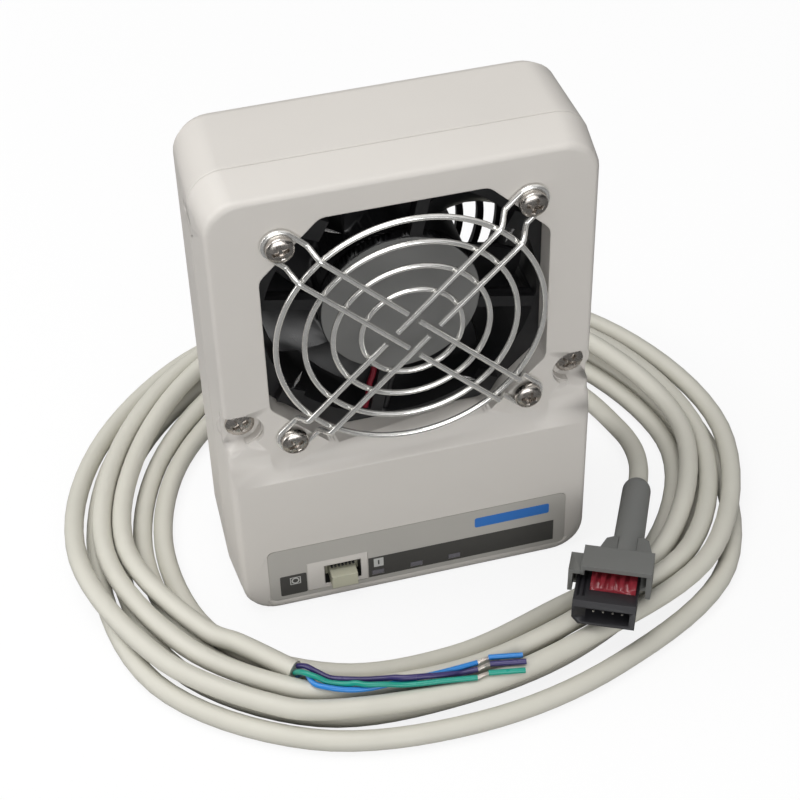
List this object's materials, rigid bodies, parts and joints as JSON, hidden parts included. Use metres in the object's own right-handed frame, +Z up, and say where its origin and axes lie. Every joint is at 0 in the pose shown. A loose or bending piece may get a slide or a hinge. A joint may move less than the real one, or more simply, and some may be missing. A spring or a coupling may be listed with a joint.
{
  "type": "ionizing blower",
  "caption": "Small upright fan ioniser in a light grey case: wire guard and emitter needles over a fan, slide switch and indicators below, with its power cable coiled round it.",
  "frame": {"origin": "centre of the case's footprint, on the flat base it stands on", "axes": "+Z up the case, +Y from the guarded air outlet towards the rear intake, +X to the right seen from the front"},
  "size_m": [0.1566, 0.1431, 0.11],
  "materials": {
    "housing": "fine satin moulded plastic",
    "guard_wire": "bright stainless wire",
    "screw_steel": "nickel plated",
    "fan_black": "satin black plastic",
    "front_label": "printed film",
    "indicator_lenses": "clear smoked plastic",
    "indicator_leds": "clear resin",
    "switch_slider": "ivory plastic",
    "board_green": "solder mask",
    "high_voltage_module": "potting compound",
    "needle_steel": "ground and polished",
    "lead_jacket": "silicone insulation",
    "lead_red": "wire insulation",
    "plated_steel": "plated",
    "rotor_magnet": "bonded ferrite",
    "bearing_steel": "ground",
    "stator_windings": "enamelled copper",
    "motor_disc": "paper film",
    "cable": "soft vinyl jacket",
    "cable_boot": "moulded",
    "plug_hood": "moulded",
    "plug_window": "clear red plastic",
    "contact_brass": "plated",
    "core_blue": "wire insulation",
    "core_navy": "wire insulation",
    "core_teal": "wire insulation",
    "bare_strands": "tinned copper strands"
  },
  "bodies": {
    "case": {"front_cover": "housing", "rear_cover": "housing", "rear_grille": "fan_black", "finger_guard": "guard_wire", "guard_screws": "screw_steel", "case_screws": "screw_steel", "front_label": "front_label", "indicator_lenses": "indicator_lenses", "indicator_leds": "indicator_leds", "switch_body": "fan_black", "control_board": "board_green", "board_screws": "screw_steel", "high_voltage_module": "high_voltage_module", "power_receptacle": "fan_black", "receptacle_pins": "contact_brass", "needle_holders": "fan_black", "emitter_needles": "needle_steel", "needle_leads": "lead_jacket", "fan_frame": "fan_black", "front_bearing": "bearing_steel", "rear_bearing": "bearing_steel", "fan_stator": "plated_steel", "stator_windings": "stator_windings", "motor_board": "board_green", "motor_disc": "motor_disc", "fan_leads": "lead_red", "cable": "cable", "cable_boot": "cable_boot", "plug_hood": "plug_hood", "plug_body": "fan_black", "plug_window": "plug_window", "plug_contacts": "contact_brass", "core_blue": "core_blue", "core_navy": "core_navy", "core_teal": "core_teal", "bare_strands": "bare_strands"},
    "fan_rotor": {"fan_impeller": "fan_black", "rotor_yoke": "plated_steel", "rotor_magnet": "rotor_magnet", "rotor_shaft": "bearing_steel", "shaft_circlip": "bearing_steel"},
    "switch_knob": {"switch_slider": "switch_slider"}
  },
  "joints": [
    {"name": "fan_spin", "type": "hinge", "parent": "case", "child": "fan_rotor", "pos_m": [0, 0.0044, 0.0733], "axis": [0, -1, 0], "continuous": true},
    {"name": "power_switch", "type": "slide", "parent": "case", "child": "switch_knob", "axis": [1, 0, 0], "range_m": [-0.001, 0.001]}
  ]
}
